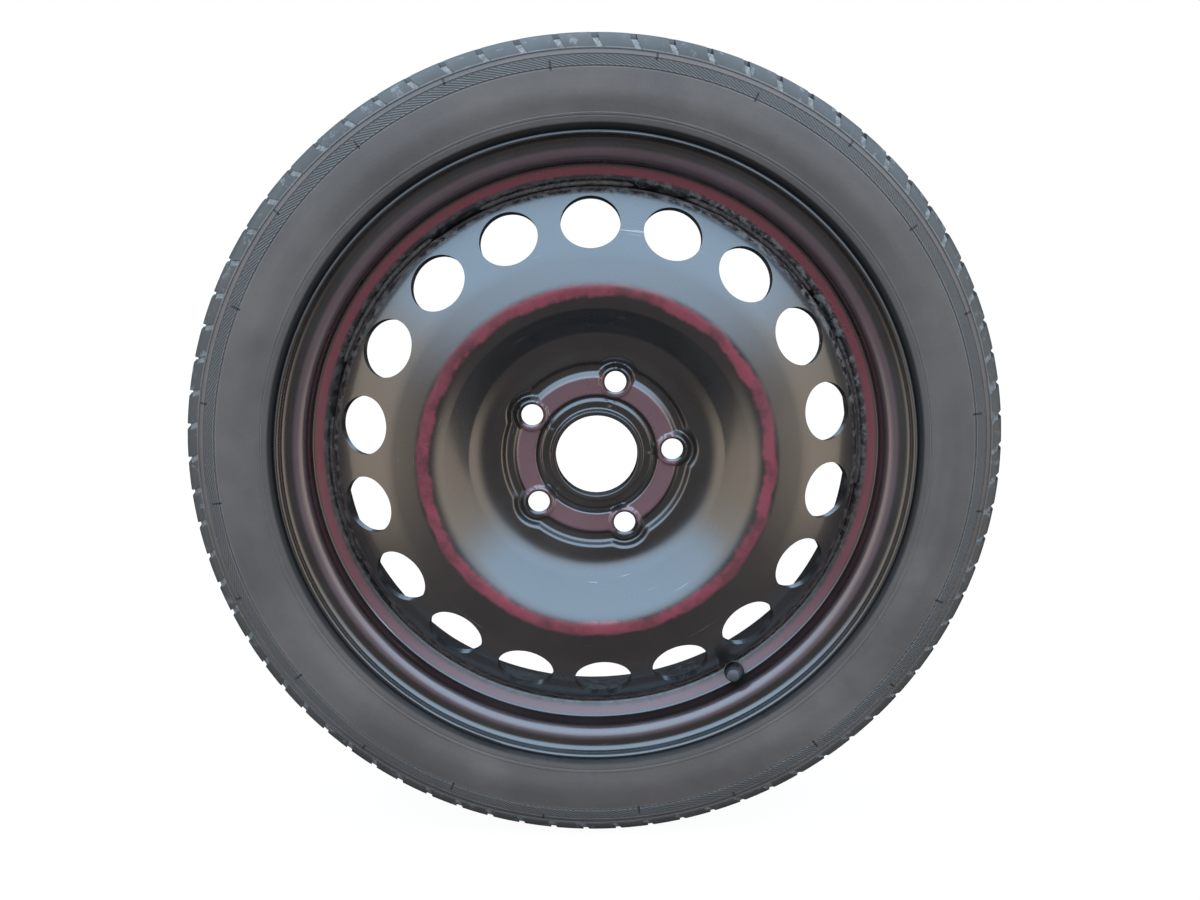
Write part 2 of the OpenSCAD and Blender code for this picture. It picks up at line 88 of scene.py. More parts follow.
# Studio: a plain white floor under an open sky that the gloss paint mirrors, bluish above, sandy
# low down at the sides and dark behind, with soft lamps over, before and behind the wheel.
class Value:
    """A socket in a shader expression: arithmetic on it adds Math nodes."""

    def __init__(self, finish, socket):
        self.finish, self.socket = finish, socket

    def math(self, operation, *others):
        return self.finish.add("ShaderNodeMath", {"operation": operation}, dict(enumerate((self, *others))))

    def __add__(self, other):
        return self.math("ADD", other)

    def __sub__(self, other):
        return self.math("SUBTRACT", other)

    def __mul__(self, other):
        return self.math("MULTIPLY", other)

    def __pow__(self, other):
        return self.math("POWER", other)

    def __rsub__(self, other):
        return self.finish.add("ShaderNodeMath", {"operation": "SUBTRACT"}, {0: other, 1: self})

    __radd__ = __add__
    __rmul__ = __mul__

    def between(self, low, high, soft):
        """1 from low to high and 0 outside, with edges as wide as soft."""
        return self.rise(low - soft, low + soft) * self.fall(high - soft, high + soft)

    def rise(self, start, end):
        """0 below start and 1 above end, with a smooth slope from one to the other."""
        return self.finish.add("ShaderNodeMapRange", {"interpolation_type": "SMOOTHSTEP"},
                               {"Value": self, "From Min": start, "From Max": end})

    def fall(self, start, end):
        """1 below start and 0 above end, with the same slope."""
        return 1 - self.rise(start, end)


class Finish:
    """The node tree of one material or of the world."""

    def __init__(self, owner):
        self.owner = owner
        owner.use_nodes = True
        self.tree = owner.node_tree

    def add(self, kind, settings={}, inputs={}, output=0):
        """Adds a node with its settings, then its inputs by name or place, and returns one output."""
        node = self.tree.nodes.new(kind)
        for name, value in settings.items():
            setattr(node, name, value)
        for name, value in inputs.items():
            self.join(node.inputs[name], value)
        return Value(self, node.outputs[output])

    def join(self, socket, value):
        if isinstance(value, Value):
            self.tree.links.new(value.socket, socket)
        else:
            socket.default_value = value

    def blend(self, factor, first, second):
        """A colour between first and second."""
        return self.add("ShaderNodeMix", {"data_type": "RGBA"}, {0: factor, 6: first, 7: second}, 2)

    def bump(self, strength, distance, height):
        """A normal with the relief of a height, distance in metres."""
        return self.add("ShaderNodeBump", {}, {"Strength": strength, "Distance": distance, "Height": height})

    def surface(self, inputs):
        """Sets inputs of the Principled shader by their names."""
        for name, value in inputs.items():
            self.join(self.tree.nodes["Principled BSDF"].inputs[name], value)


surroundings = Finish(bpy.data.worlds.new("surroundings"))
scene.world = surroundings.owner


def seen_ray(finish):
    """1 for what the camera sees directly or through glass."""
    return finish.add("ShaderNodeLightPath", output="Is Camera Ray") \
        + finish.add("ShaderNodeLightPath", output="Is Transmission Ray")


direction = surroundings.add("ShaderNodeTexCoord", output="Generated")
across, depth, height = (
    surroundings.add("ShaderNodeSeparateXYZ", {}, {0: direction}, axis) for axis in "XYZ")
sandy_side = (across * across).rise(0.12, 0.75)
ground = surroundings.blend(sandy_side, (0.20, 0.16, 0.14, 1), (1.60, 1.34, 1.08, 1))
ground = surroundings.blend(height.rise(-0.75, -0.25), (0.22, 0.19, 0.18, 1), ground)
haze = surroundings.blend(sandy_side, (1.85, 2.3, 2.85, 1), (1.65, 1.50, 1.30, 1))
sky = surroundings.blend(height.rise(0.25, 0.62), haze, (2.05, 2.85, 3.75, 1))
open_air = surroundings.blend(height.rise(0.0, 0.36), ground, sky)
behind = depth.rise(0.10, 0.40) * (0.97 - 0.6 * height.rise(0.42, 0.68))
open_air = surroundings.blend(behind, open_air, (0.02, 0.018, 0.017, 1))
white_behind = surroundings.blend(seen_ray(surroundings), open_air, (1, 1, 1, 1))
surroundings.join(surroundings.tree.nodes["Background"].inputs["Color"], white_behind)

floor_reach, floor_gap = 9, 0.0002
floor_mesh = bpy.data.meshes.new("floor")
floor_bm = bmesh.new()
bmesh.ops.create_grid(floor_bm, x_segments=1, y_segments=1, size=floor_reach)
bmesh.ops.translate(floor_bm, verts=floor_bm.verts, vec=(0, 0, cad_box[0][2] - floor_gap))
floor_bm.to_mesh(floor_mesh)
floor = bpy.data.objects.new("floor", floor_mesh)
scene.collection.objects.link(floor)
floor.visible_glossy = False
floor_paint = Finish(bpy.data.materials.new("floor_white"))
white_board = floor_paint.add("ShaderNodeBsdfDiffuse", {}, {"Color": (0.25, 0.25, 0.25, 1)})
white_light = floor_paint.add("ShaderNodeEmission", {}, {"Color": (1, 1, 1, 1), "Strength": 1.13})
floor_surface = floor_paint.add("ShaderNodeMixShader", {}, {
    0: seen_ray(floor_paint) * 0.85, 1: white_board, 2: white_light})
floor_paint.join(floor_paint.tree.nodes["Material Output"].inputs["Surface"], floor_surface)
floor.data.materials.append(floor_paint.owner)


def soft_lamp(name, place, target, width, depth, power, colour=(1, 1, 1)):
    """Adds a rectangular lamp at a place, turned to a target."""
    lamp = bpy.data.objects.new(name, bpy.data.lights.new(name, "AREA"))
    lamp.data.shape = "RECTANGLE"
    lamp.data.size, lamp.data.size_y = width, depth
    lamp.data.energy = power
    lamp.data.color = colour
    lamp.location = place
    lamp.rotation_euler = (Vector(target) - Vector(place)).to_track_quat("-Z", "Y").to_euler()
    scene.collection.objects.link(lamp)
    return lamp


lamps = [
    soft_lamp("fill_lamp", (0.2, -2.4, 1.3), (0, 0, 0), 1.8, 1.4, 5, (1.0, 0.97, 0.94)),
    soft_lamp("over_lamp", (0.0, -0.45, 2.2), (0, 0, 0.1), 1.6, 0.8, 30, (1.0, 0.98, 0.95)),
    soft_lamp("back_lamp", (0.2, 2.5, 0.25), (0, 0, 0), 1.8, 0.9, 14, (1.0, 0.98, 0.95)),
]
for lamp in lamps:
    lamp.visible_glossy = False


# Tyre: one moulding of black rubber on the rim. Its sidewall has a fine ribbed band between two
# scored lines, and slanted shoulder blocks with notches, in the mixed pitch of such tyres.
def way(path, i):
    """The direction from a path's point i to the next one."""
    return (Vector(path[i + 1][:2]) - Vector(path[i][:2])).normalized()


def rounded(path, step=7):
    """The points of an outline of (radius, place, corner radius) with its corners rounded."""
    points = [Vector(path[0][:2])]
    for i in range(1, len(path) - 1):
        corner, radius = Vector(path[i][:2]), path[i][2]
        before, after = way(path, i - 1), way(path, i)
        turn = before.angle_signed(after)
        if not radius or abs(turn) < 1e-4:
            points.append(corner)
            continue
        start = corner - before * radius * math.tan(abs(turn) / 2)
        side = -1 if turn > 0 else 1
        centre = start + side * radius * Vector((-before.y, before.x))
        count = max(2, math.ceil(math.degrees(abs(turn)) / (step if radius > 3 else 2 * step)))
        for k in range(count + 1):
            points.append(centre + Matrix.Rotation(-turn * k / count, 2) @ (start - centre))
    return points + [Vector(path[-1][:2])]


def mirrored(points):
    """The same outline on the inboard side, in the order that carries on round the section."""
    return [Vector((p.x, -p.y)) for p in reversed(points)]


def ring_wire(bm, points, offset=0.0):
    """Lays a closed outline, in mm, over the axle as a loop of edges."""
    verts = [bm.verts.new((0, (p.y + offset) / 1000, p.x / 1000)) for p in points]
    return [bm.edges.new((a, b)) for a, b in zip(verts, verts[1:] + verts[:1])]


def spin_edges(bm, edges, angle, steps, whole=False):
    """Turns edges about the axle and returns the edges it ends on."""
    made = bmesh.ops.spin(bm, geom=edges, cent=(0, 0, 0), axis=(0, 1, 0), angle=angle, steps=steps,
                          use_merge=whole)
    return [g for g in made["geom_last"] if isinstance(g, bmesh.types.BMEdge)]


def into_object(name, bm, finish, body="wheel", replaces=(), crease=35):
    """Ends a piece: welds its seam, shades it smooth up to the crease angle and puts it on its body."""
    bmesh.ops.remove_doubles(bm, verts=bm.verts, dist=1e-6)
    bmesh.ops.recalc_face_normals(bm, faces=bm.faces)
    mesh = bpy.data.meshes.new(name)
    bm.to_mesh(mesh)
    bm.free()
    mesh.shade_smooth()
    mesh.set_sharp_from_angle(angle=math.radians(crease))
    mesh.materials.append(finish.owner)
    piece = bpy.data.objects.new(name, mesh)
    scene.collection.objects.link(piece)
    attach(piece, body)
    if replaces:
        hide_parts(*replaces)
    return piece


wheel_middle = 41.0
tread_radius = 284.0
crown_radius = 600.0
groove_depth, groove_foot, groove_mouth, groove_rim = 3.6, 2.2, 3.0, 3.4
groove_places = (-31, -11)


def tread_at(y):
    """Radius of the crowned tread at a place along the axle."""
    return tread_radius - y * y / (2 * crown_radius)


# The outboard half of the section, from the bead's toe out to the middle of the tread
toe_to_lip = rounded([
    (201.72, -37.4, 0), (202.85, -50.75, 6.4), (220.2, -50.75, 8.0), (220.2, -57.04, 1.2),
    (222.5, -58.64, 1.4), (225.1, -60.0, 2.4), (227.6, -60.45, 0),
])
bead_line = [
    (228.6, -60.62), (229.0, -60.3), (229.5, -60.3), (229.9, -60.85), (231.0, -61.05), (231.4, -60.75),
]
sidewall = rounded([(231.4, -60.75, 0), (243, -62.45, 40), (259.6, -60.35, 0)], 5)
band_lines = [
    (259.9, -60.3), (260.2, -59.8), (260.7, -59.75), (261.0, -60.25), (264.2, -59.75), (267.3, -58.95),
    (267.6, -58.4), (268.1, -58.25), (268.4, -58.8), (269.2, -58.5), (269.5, -58.1), (271.3, -57.2),
    (271.7, -57.6), (272.2, -57.35),
]
shoulder = rounded([(272.2, -57.35, 0), (277.6, -55.0, 14), (281.6, -47.8, 8), (tread_at(34.4), -34.4, 0)], 9)


def groove(y):
    """The outline of a tread groove, with its edges a little broken."""
    floor_at = tread_at(y) - groove_depth
    return [Vector((tread_at(y - groove_rim), y - groove_rim)),
            Vector((tread_at(y - groove_mouth) - 0.5, y - groove_mouth)),
            Vector((floor_at, y - groove_foot)), Vector((floor_at, y + groove_foot)),
            Vector((tread_at(y + groove_mouth) - 0.5, y + groove_mouth)),
            Vector((tread_at(y + groove_rim), y + groove_rim))]


rib_middle = sum(groove_places) / 2
tread = groove(groove_places[0]) + [Vector((tread_at(rib_middle), rib_middle))] + groove(groove_places[1])
tread.append(Vector((tread_at(0), 0)))
outboard_half = toe_to_lip + [Vector(p) for p in bead_line] + sidewall[1:] \
    + [Vector(p) for p in band_lines] + shoulder[1:-1] + tread
inside_half = rounded([(201.72, -37.4, 0), (212.8, -38.8, 10), (229, -52.2, 16), (261, -53.7, 20),
                       (274.5, -44.1, 18), (274.5, 0, 0)], 12)[1:-1]
tyre_outline = outboard_half + mirrored(outboard_half)[1:] + mirrored(inside_half)[::-1] + inside_half[::-1]

# Pitches clockwise from a notch near the top, as (number of blocks, degrees each)
first_notch = -21.6
pitch_runs = [(8, 5.10), (2, 4.75), (22, 4.42), (8, 4.62), (9, 4.75), (10, 4.38), (8, 4.68), (9, 4.95)]
pitches = [size for count, size in pitch_runs for _ in range(count)]
pitches = [size * 360 / sum(pitches) for size in pitches]
gap_turn, steps_a_block = 0.92, 4
tyre_bm = bmesh.new()
loop = ring_wire(tyre_bm, tyre_outline, wheel_middle)
bmesh.ops.rotate(tyre_bm, verts=tyre_bm.verts, cent=(0, 0, 0),
                 matrix=Matrix.Rotation(math.radians(first_notch), 3, "Y"))
gap_faces = []
for pitch in pitches:
    before = len(tyre_bm.faces)
    loop = spin_edges(tyre_bm, loop, math.radians(gap_turn), 1)
    tyre_bm.faces.ensure_lookup_table()
    gap_faces += tyre_bm.faces[before:]
    loop = spin_edges(tyre_bm, loop, math.radians(pitch - gap_turn), steps_a_block)


def face_place(face):
    """Radius and distance from the wheel's middle of a face's centre, in mm."""
    centre = face.calc_center_median() * 1000
    return math.hypot(centre.x, centre.z), centre.y - wheel_middle


# The gaps between the shoulder blocks are shallow on the sidewall and end in deep notches. The
# two depths are in metres, and their floors below the notches get the scuffed rubber.
slot_foot, slot_reach, scuff_top = 272.3, 33.5, 279.5
notch_start, notch_slope, notch_lean = 279.2, 1.2, 0.35
slot_depth, notch_depth = 0.0008, 0.0030
outer_gap = [f for f in gap_faces if face_place(f)[0] > slot_foot and abs(face_place(f)[1]) > slot_reach]
sunk = bmesh.ops.extrude_face_region(tyre_bm, geom=outer_gap)
sunk_verts = [g for g in sunk["geom"] if isinstance(g, bmesh.types.BMVert)]
for g in sunk["geom"]:
    if isinstance(g, bmesh.types.BMFace) and face_place(g)[0] < scuff_top:
        g.material_index = 1
bmesh.ops.delete(tyre_bm, geom=outer_gap, context="FACES")
for v in sunk_verts:
    radius = math.hypot(v.co.x, v.co.z)
    far_out = max(0.0, min(1.0, (radius * 1000 - notch_start) / notch_slope))
    side = 1 if v.co.y > wheel_middle / 1000 else -1
    inward = Vector((-v.co.x / radius, -notch_lean * side, -v.co.z / radius)).normalized()
    v.co += inward * (slot_depth + notch_depth * far_out)

gap_lean, lean_top, lean_fall = 0.95, 281.5, 9.5


def slant(v):
    """Turn that leans the gaps between the shoulder blocks, in radians."""
    down = max(0.0, min(1.0, (lean_top - math.hypot(v.co.x, v.co.z) * 1000) / lean_fall))
    side = -1 if v.co.y * 1000 < wheel_middle else 1
    return -side * math.radians(gap_lean) * down ** 1.5


for v in tyre_bm.verts:
    v.co = Matrix.Rotation(slant(v), 3, "Y") @ v.co
bmesh.ops.remove_doubles(tyre_bm, verts=tyre_bm.verts, dist=1e-5)


def object_point(finish):
    """Object coordinates, which every piece shares with the wheel."""
    return finish.add("ShaderNodeTexCoord", output="Object")


def object_place(finish):
    """A point of the wheel, its radius from the axle, its turn and its place along the axle."""
    point = object_point(finish)
    x, y, z = (finish.add("ShaderNodeSeparateXYZ", {}, {0: point}, axis) for axis in "XYZ")
    return point, (x * x + z * z) ** 0.5, x.math("ARCTAN2", z), y


def cloud(finish, point, scale, detail=4, rough=0.6, stretch=None):
    """Noise from 0 to 1 on a point, which stretch scales along each axis."""
    if stretch:
        point = finish.add("ShaderNodeMapping", {}, {"Vector": point, "Scale": stretch})
    return finish.add("ShaderNodeTexNoise", {}, {
        "Vector": point, "Scale": scale, "Detail": detail, "Roughness": rough})


def around(finish, radius, turn, along, turns_scale=1.0, mean_radius=0.2):
    """A point in radius, arc and place along the axle, for marks that follow the wheel round."""
    arc = turn * (mean_radius * turns_scale)
    return finish.add("ShaderNodeCombineXYZ", {}, {"X": radius, "Y": arc, "Z": along})


rubber = Finish(bpy.data.materials.new("tyre_rubber"))
point, radius, turn, along = object_place(rubber)
shoulder_mask = radius.rise(0.2712, 0.2724)
line_edge = 0.0002
band_mask = radius.between(0.2608, 0.2674, line_edge)
bead_mask = radius.fall(0.2285, 0.2300)
mottle = cloud(rubber, point, 28, 6, 0.65)
fine = cloud(rubber, point, 420, 3, 0.7)
dust = cloud(rubber, point, 9, 5, 0.6).rise(0.42, 0.68)
wiped = cloud(rubber, around(rubber, radius, turn, along, 0.5), 26, 4, 0.6, (1.6, 0.35, 1.0))
wiped = wiped.rise(0.45, 0.70)
worn = cloud(rubber, around(rubber, radius, turn, along, 0.9), 130, 4, 0.75, (0.5, 1.0, 0.5))
worn = worn.rise(0.56, 0.66)
rubber_colour = rubber.blend(mottle, (0.056, 0.046, 0.040, 1), (0.096, 0.079, 0.070, 1))
rubber_colour = rubber.blend(wiped * 0.45, rubber_colour, (0.050, 0.044, 0.041, 1))
rubber_colour = rubber.blend(dust * 0.30, rubber_colour, (0.150, 0.126, 0.108, 1))
rubber_colour = rubber.blend(bead_mask * 0.5, rubber_colour, (0.058, 0.047, 0.040, 1))
# Painted shadow: the rubber next to the rim's lip is near black, for the shade of the gap between them
rubber_colour = rubber.blend(radius.fall(0.2240, 0.2262), rubber_colour, (0.004, 0.004, 0.004, 1))
band_colour = rubber.blend(mottle, (0.050, 0.046, 0.042, 1), (0.074, 0.069, 0.064, 1))
rubber_colour = rubber.blend(band_mask, rubber_colour, band_colour)
block_colour = rubber.blend(mottle, (0.030, 0.029, 0.027, 1), (0.058, 0.056, 0.052, 1))
rubber_colour = rubber.blend(shoulder_mask, rubber_colour, block_colour)
# The tops of the raised rings are coloured paler, patchy with the mottle
raised_lines = ((0.2290, 0.2294), (0.2595, 0.2599), (0.2612, 0.2616), (0.2678, 0.2682), (0.2722, 0.2727))
pale_ring_tops = sum(radius.between(low, high, line_edge) for low, high in raised_lines)
rubber_colour = rubber.blend(pale_ring_tops * (0.25 + 0.75 * mottle) * 0.8, rubber_colour, (0.175, 0.160, 0.148, 1))
worn_blocks = worn * shoulder_mask * radius.fall(0.2815, 0.2830)
rubber_colour = rubber.blend(worn_blocks * 0.55, rubber_colour, (0.165, 0.165, 0.160, 1))

# Short raised ticks under and over the band, twelve of each round the wheel, bumped up and coloured as
# painted shade
ticks_round, tick_width, tick_edge = 12, 0.011, 0.0012
low_tick_shift, high_tick_shift = 6.8 / 30, 1 - 8.2 / 30
tick_turn = turn * (ticks_round / math.tau)
low_tick = (tick_turn + low_tick_shift).math("FRACT").between(0.0, tick_width, tick_edge)
high_tick = (tick_turn + high_tick_shift).math("FRACT").between(0.0, tick_width, tick_edge)
ticks = low_tick * radius.between(0.2590, 0.2655, line_edge) \
    + high_tick * radius.between(0.2665, 0.2712, line_edge)
# Painted shade: the ticks are coloured near black
rubber_colour = rubber.blend(ticks * 0.85, rubber_colour, (0.010, 0.010, 0.010, 1))
ribs_turn, ribs_lean = 420, 3800
band_ribs = (turn * ribs_turn + radius * ribs_lean).math("SINE")
relief = band_ribs * band_mask * 0.8 + fine * 0.7 + mottle * 0.5 + ticks * 1.5
rubber.surface({
    "Base Color": rubber_colour, "Roughness": 0.58 + dust * 0.2 - fine * 0.12 + worn * 0.1,
    "Normal": rubber.bump(0.5, 0.0004, relief)})
scuffed = Finish(bpy.data.materials.new("scuffed_rubber"))
grain = cloud(scuffed, object_point(scuffed), 300, 4, 0.7)
scuffed.surface({
    "Base Color": scuffed.blend(grain.rise(0.3, 0.7), (0.070, 0.068, 0.064, 1), (0.185, 0.180, 0.172, 1)),
    "Roughness": 0.6 + grain * 0.2})
tyre = into_object("tyre_moulding", tyre_bm, rubber, replaces=["tyre"])
tyre.data.materials.append(scuffed.owner)


# Rim: one strip of steel, rolled to its section with flanges, bead seats and well, welded to a
# hoop and dipped in black paint. A flat is coined round the valve hole.
def moved(path, by):
    """The corners of an outline set to its left by a sheet's thickness, with bends kept concentric."""
    result = []
    for i, corner in enumerate(path):
        ways = [way(path, k) for k in (i - 1, i) if 0 <= k < len(path) - 1]
        lefts = [Vector((-d.y, d.x)) for d in ways]
        shift = lefts[0] if len(lefts) == 1 else (lefts[0] + lefts[1]) / (1 + lefts[0].dot(lefts[1]))
        bend = 0
        if len(ways) == 2 and corner[2]:
            bend = corner[2] + (-by if ways[0].cross(ways[1]) > 0 else by)
        place = Vector(corner[:2]) + by * shift
        result.append((place.x, place.y, bend))
    return result


def half_round(start, end, count=6):
    """The points of a half circle from start to end, without those two."""
    middle = (start + end) / 2
    return [middle + Matrix.Rotation(math.pi * k / count, 2) @ (start - middle) for k in range(1, count)]


def sheet_outline(path, thickness, step):
    """The closed outline of a bent strip of sheet with rounded edges."""
    near, far = rounded(path, step), rounded(moved(path, thickness), step)
    return near + half_round(near[-1], far[-1]) + far[::-1] + half_round(far[0], near[0])


def cut(bm, cutters, operation="DIFFERENCE"):
    """Cuts or joins closed shapes to a solid and returns the result."""
    objects = []
    for shape in (bm, cutters):
        bmesh.ops.recalc_face_normals(shape, faces=shape.faces)
        mesh = bpy.data.meshes.new("cutting")
        shape.to_mesh(mesh)
        shape.free()
        objects.append(bpy.data.objects.new("cutting", mesh))
        scene.collection.objects.link(objects[-1])
    solid, tool = objects
    modifier = solid.modifiers.new("cut", "BOOLEAN")
    modifier.operation, modifier.object, modifier.solver = operation, tool, "EXACT"
    result = bmesh.new()
    result.from_object(solid, bpy.context.evaluated_depsgraph_get())
    for thing in objects:
        bpy.data.objects.remove(thing)
    return result


rim_thickness, steps_round = 2.8, 360
rim_path = [
    (220.1, -60.2, 0), (220.1, -50.8, 8), (202.8, -50.8, 6.5), (201.365, -34.4, 5.5), (185.8, -29.641, 6),
    (185.8, -8.041, 12), (198.768, 19.896, 12), (201.068, 31.0, 8), (202.8, 50.8, 6.5), (220.1, 50.8, 8),
    (220.1, 60.2, 0),
]
rim_bm = bmesh.new()
rim_loop = ring_wire(rim_bm, sheet_outline(rim_path, rim_thickness, 8), wheel_middle)
spin_edges(rim_bm, rim_loop, math.tau, steps_round, True)
bmesh.ops.remove_doubles(rim_bm, verts=rim_bm.verts, dist=1e-6)

# Valve frame: its Z leaves the rim on the outboard side
valve_clock = 148.75
valve_turn, valve_lean = math.radians(valve_clock), math.radians(17)
valve_out = Vector((-math.sin(valve_lean) * math.sin(valve_turn), -math.cos(valve_lean),
                    -math.sin(valve_lean) * math.cos(valve_turn)))
valve_foot = Vector((0.100123, 0.006230, -0.164998))
on_valve = Matrix.Translation(valve_foot) @ valve_out.to_track_quat("Z", "Y").to_matrix().to_4x4()


def plug(bm, radius, low, high, place, top_radius=None, segments=64):
    """Adds a closed cylinder or cone, in mm, on the Z of a placing matrix."""
    bmesh.ops.create_cone(bm, cap_ends=True, segments=segments, radius1=radius / 1000,
                          radius2=(top_radius or radius) / 1000, depth=(high - low) / 1000,
                          matrix=place @ Matrix.Translation((0, 0, (low + high) / 2000)))


flat_radius, hole_radius = 8.0, 5.65
coin = bmesh.new()
plug(coin, flat_radius, -rim_thickness / 2, 0, on_valve)
rim_bm = cut(rim_bm, coin, "UNION")
valve_hole = bmesh.new()
plug(valve_hole, hole_radius, -6, 6, on_valve)
rim_bm = cut(rim_bm, valve_hole)

black = Finish(bpy.data.materials.new("black_paint"))
point, radius, turn, along = object_place(black)
orange_peel = cloud(black, point, 260, 2, 0.5)
haze = cloud(black, point, 22, 6, 0.65)
film = cloud(black, point, 7, 4, 0.6).rise(0.40, 0.75)
scratch_field = cloud(black, around(black, radius, turn, along, 0.15), 60, 3, 0.7, (6.0, 0.6, 6.0))
scratches = scratch_field.rise(0.70, 0.74)
crust = radius.between(0.1790, 0.1905, 0.0015) * along.fall(0.029, 0.034) \
    * cloud(black, point, 190, 5, 0.75).rise(0.46, 0.60)
paint_colour = black.blend(haze * 0.6, (0.0060, 0.0055, 0.0055, 1), (0.020, 0.018, 0.017, 1))
paint_colour = black.blend(film * 0.10, paint_colour, (0.10, 0.09, 0.08, 1))

# Painted reflection: red on the disc's crown and the rim's band, stronger at the top, pink-grey on the rim's
# heel and the hub's pads
blotch = cloud(black, around(black, radius, turn, along, 0.6), 42, 4, 0.65)
blotched_radius = radius + (blotch - 0.5) * 0.010
crown_red_reflection = blotched_radius.between(0.1132, 0.1212, 0.0016) * (0.45 + 0.55 * blotch.rise(0.35, 0.6)) \
    * along.fall(-0.0352, -0.0340)
reflection_more_at_top = 0.75 + 0.25 * turn.math("COSINE")
band_red_reflection = radius.between(0.1905, 0.1965, 0.0012) * reflection_more_at_top * along.fall(0.014, 0.018)
heel_pink_reflection = radius.between(0.2010, 0.2085, 0.0015) * along.fall(-0.004, 0.004)
pads_pink_reflection = radius.between(0.0425, 0.0560, 0.0015) * along.fall(-0.0062, -0.0050)
red_reflection = (crown_red_reflection + band_red_reflection).math("MINIMUM", 1.0)
# Painted red reflection on the crown and band, then painted pink-grey reflection on the heel and pads
paint_colour = black.blend(red_reflection * 0.8, paint_colour, (0.23, 0.034, 0.052, 1))
paint_colour = black.blend(heel_pink_reflection * (0.5 + 0.5 * haze), paint_colour, (0.085, 0.048, 0.052, 1))
paint_colour = black.blend(pads_pink_reflection * (0.6 + 0.4 * haze), paint_colour, (0.150, 0.070, 0.077, 1))
paint_colour = black.blend(scratches * 0.5, paint_colour, (0.42, 0.43, 0.45, 1))
crust_colour = black.blend(turn.between(0.25, 1.45, 0.3), (0.075, 0.058, 0.048, 1), (0.20, 0.18, 0.165, 1))
paint_colour = black.blend(crust * 0.7, paint_colour, crust_colour)
# Painted shade: the rim's lip is coloured near black, and made duller, where it meets the tyre in the shaded
# gap
lip_gap_shade = radius.rise(0.2184, 0.2197)
paint_colour = black.blend(lip_gap_shade, paint_colour, (0.003, 0.003, 0.003, 1))
black.surface({
    "Base Color": paint_colour,
    "Roughness": 0.20 + haze * 0.14 + film * 0.10 + crust * 0.45 + lip_gap_shade * 0.40 + heel_pink_reflection * 0.08,
    "Specular IOR Level": 0.8, "Coat Weight": 0.9 - lip_gap_shade * 0.85, "Coat IOR": 1.6, "Coat Roughness": 0.10,
    "Normal": black.bump(0.25, 0.0003, orange_peel * 0.25 + crust * 1.5 + scratches * 0.1)})
rim = into_object("rim_hoop", rim_bm, black, replaces=["rim"], crease=30)


# Disc: pressed from one steel blank, with a drawn collar round the bore, a ring of arched pads
# with a raised seat for each bolt, a deep bowl, a rolled crown and a ring of round vents.
disc_thickness = 4.0
bolt_count, first_bolt = 5, 14.2
bolt_turns = [math.radians(first_bolt + 360 / bolt_count * i) for i in range(bolt_count)]
bolt_circle = 52.5
floor_edge, floor_rise, floor_slope = 62.0, 4.2, (-0.3, 4.6)
bore_step, bore_slope = 1.2, (37.4, 39.3)
pad_rise, pad_inner_slope, pad_outer_slope = 2.2, (40.3, 42.9), (53.5, 58.7)
boss_top, boss_rise, boss_radius, boss_skirt, boss_reach = 8.0, 4.0, 10.2, 3.1, 22
lobe_radius, lobe_soft = 14.2, 1.2
nick_circle, nick_radius, nick_depth = 36.4, 2.6, 0.5


def ramp(value, start, end):
    """0 below start and 1 above end, with a smooth slope from one to the other."""
    t = max(0.0, min(1.0, (value - start) / (end - start)))
    return t * t * (3 - 2 * t)


def soft_pick(a, b, soft):
    """The greater of two heights, with the crease between them rounded."""
    h = max(0.0, min(1.0, 0.5 + (a - b) / (2 * soft)))
    return b + (a - b) * h + soft * h * (1 - h)


def hub_height(x, z):
    """Height of the pressed hub's outboard face over the mounting face, in mm."""
    r = math.hypot(x, z)
    height = disc_thickness + bore_step * (1 - ramp(r, *bore_slope)) \
        + pad_rise * ramp(r, *pad_inner_slope) * (1 - ramp(r, *pad_outer_slope))
    edge = r - floor_edge
    for bolt in bolt_turns:
        off = math.hypot(x - bolt_circle * math.sin(bolt), z - bolt_circle * math.cos(bolt))
        if off < boss_reach:
            cone = boss_top - boss_rise * (off - boss_radius) / boss_skirt
            height = soft_pick(height, min(boss_top, cone), 0.5)
            edge = -soft_pick(-edge, lobe_radius - off, lobe_soft)
        nick = math.hypot(x - nick_circle * math.sin(bolt), z - nick_circle * math.cos(bolt))
        height -= nick_depth * max(0.0, 1 - nick / nick_radius)
    step = floor_rise * ramp(edge, *floor_slope)
    return soft_pick(height, disc_thickness + step, 0.4) if step > 0 else height


# The section beyond the hub: the bowl's side, the crown, the slope with the vents and the skirt
vent_slope, brow_slope = 34.5, 18
vent_rise, brow_rise = math.tan(math.radians(vent_slope)), math.tan(math.radians(brow_slope))
crown, skirt = (112.195, -39.483, 20), (182.95, -1.9, 9)
vent_line = skirt[1] - skirt[0] * vent_rise
brow_line = crown[1] - crown[0] * brow_rise
brow_end = (brow_line - vent_line) / (vent_rise - brow_rise)
disc_path = [
    (72.0, -8.2, 0), (81.985, -8.2, 22), crown, (brow_end, vent_line + brow_end * vent_rise, 40), skirt,
    (182.95, 27.0, 0),
]

